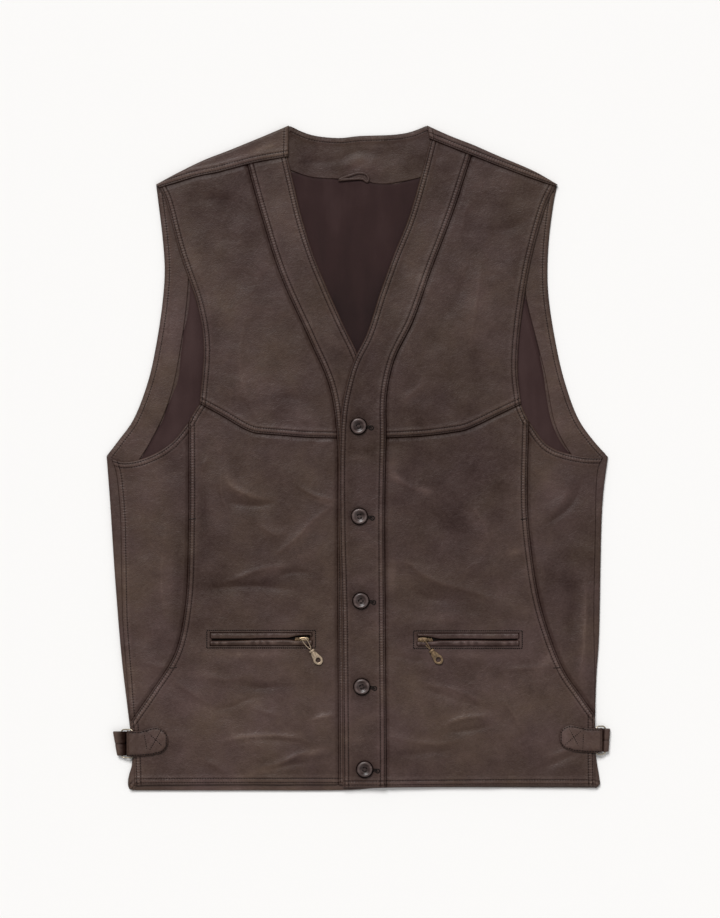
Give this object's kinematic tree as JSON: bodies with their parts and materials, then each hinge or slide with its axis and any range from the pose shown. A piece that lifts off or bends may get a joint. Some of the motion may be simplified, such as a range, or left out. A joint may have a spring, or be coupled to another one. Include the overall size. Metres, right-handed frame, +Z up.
{
  "type": "leather vest",
  "caption": "Sleeveless V-neck leather vest laid flat, front up, with a buttoned front, zip welt pockets and side adjuster tabs.",
  "frame": {"origin": "middle of the box that holds the vest, on the surface that it lies on", "axes": "+X towards the right as the laid vest is seen, which is the wearer's left; +Y from the hem to the neck; +Z up from the surface, out of the front"},
  "size_m": [0.5284, 0.7007, 0.0115],
  "materials": {
    "leather": "semi-matt dark brown nappa leather, lightly waxed, with a fine grain and paler rubbed places",
    "lining": "dark brown woven lining with a soft sheen",
    "zip_tape": "dark woven zip tape",
    "antique_brass": "antique brass, satin, darker in the hollows",
    "horn": "polished dark horn with soft brown streaks",
    "steel": "polished nickel wire"
  },
  "bodies": {
    "vest": {"back": "leather", "neck_facing": "leather", "armhole_facing_left": "leather", "armhole_facing_right": "leather", "back_lining": "lining", "hanger_loop": "leather", "front_yoke_left": "leather", "front_yoke_right": "leather", "front_lower_left": "leather", "front_lower_right": "leather", "front_side_left": "leather", "front_side_right": "leather", "front_band_left": "leather", "front_band_right": "leather", "pocket_welts_left": "leather", "pocket_welts_right": "leather", "zip_tape_left": "zip_tape", "zip_tape_right": "zip_tape", "zip_slider_left": "antique_brass", "zip_slider_right": "antique_brass", "button_1": "horn", "button_2": "horn", "button_3": "horn", "button_4": "horn", "button_5": "horn", "side_tab_left": "leather", "side_tab_right": "leather", "side_strap_left": "leather", "side_strap_right": "leather", "side_ring_left": "steel", "side_ring_right": "steel"},
    "pull_left": {"zip_pull_left": "antique_brass"},
    "pull_right": {"zip_pull_right": "antique_brass"}
  },
  "joints": [
    {"name": "pull_left_turn", "type": "hinge", "parent": "vest", "child": "pull_left", "pos_m": [-0.0565, -0.19, 0.0091], "axis": [-1, 0, 0], "range_deg": [0, 150]},
    {"name": "pull_right_turn", "type": "hinge", "parent": "vest", "child": "pull_right", "pos_m": [0.068, -0.1905, 0.0091], "axis": [-1, 0, 0], "range_deg": [0, 150]}
  ]
}
